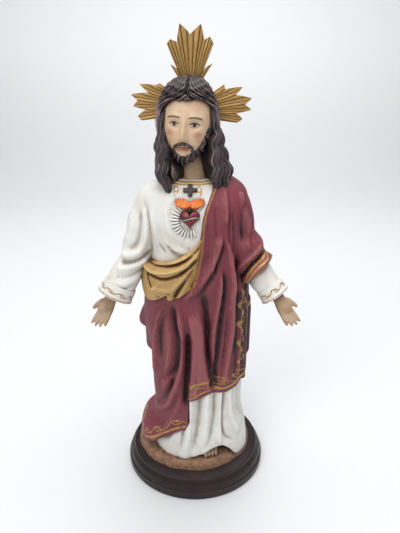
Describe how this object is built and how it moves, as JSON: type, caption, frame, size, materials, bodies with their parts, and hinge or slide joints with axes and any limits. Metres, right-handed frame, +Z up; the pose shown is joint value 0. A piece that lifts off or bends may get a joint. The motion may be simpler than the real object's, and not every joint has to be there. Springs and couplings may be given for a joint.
{
  "type": "jesus with cross statue",
  "caption": "Standing robed figure with open arms and a flaming-heart emblem, gold ray fans behind the head, on an oval moulded plinth.",
  "frame": {"origin": "centre of the plinth's flat underside", "axes": "+Z up to the top rays, -Y out of the figure's front, +X towards the viewer's right"},
  "size_m": [0.1288, 0.0878, 0.3055],
  "materials": {
    "figure_paint": "hand-painted cast resin, satin, with a dark wash in the folds",
    "plinth_paint": "very dark brown satin paint",
    "ray_gilding": "gold paint over resin, brown in the grooves"
  },
  "bodies": {
    "root": {"figure": "figure_paint", "plinth": "plinth_paint", "ray_top": "ray_gilding", "ray_left": "ray_gilding", "ray_right": "ray_gilding"}
  },
  "joints": []
}
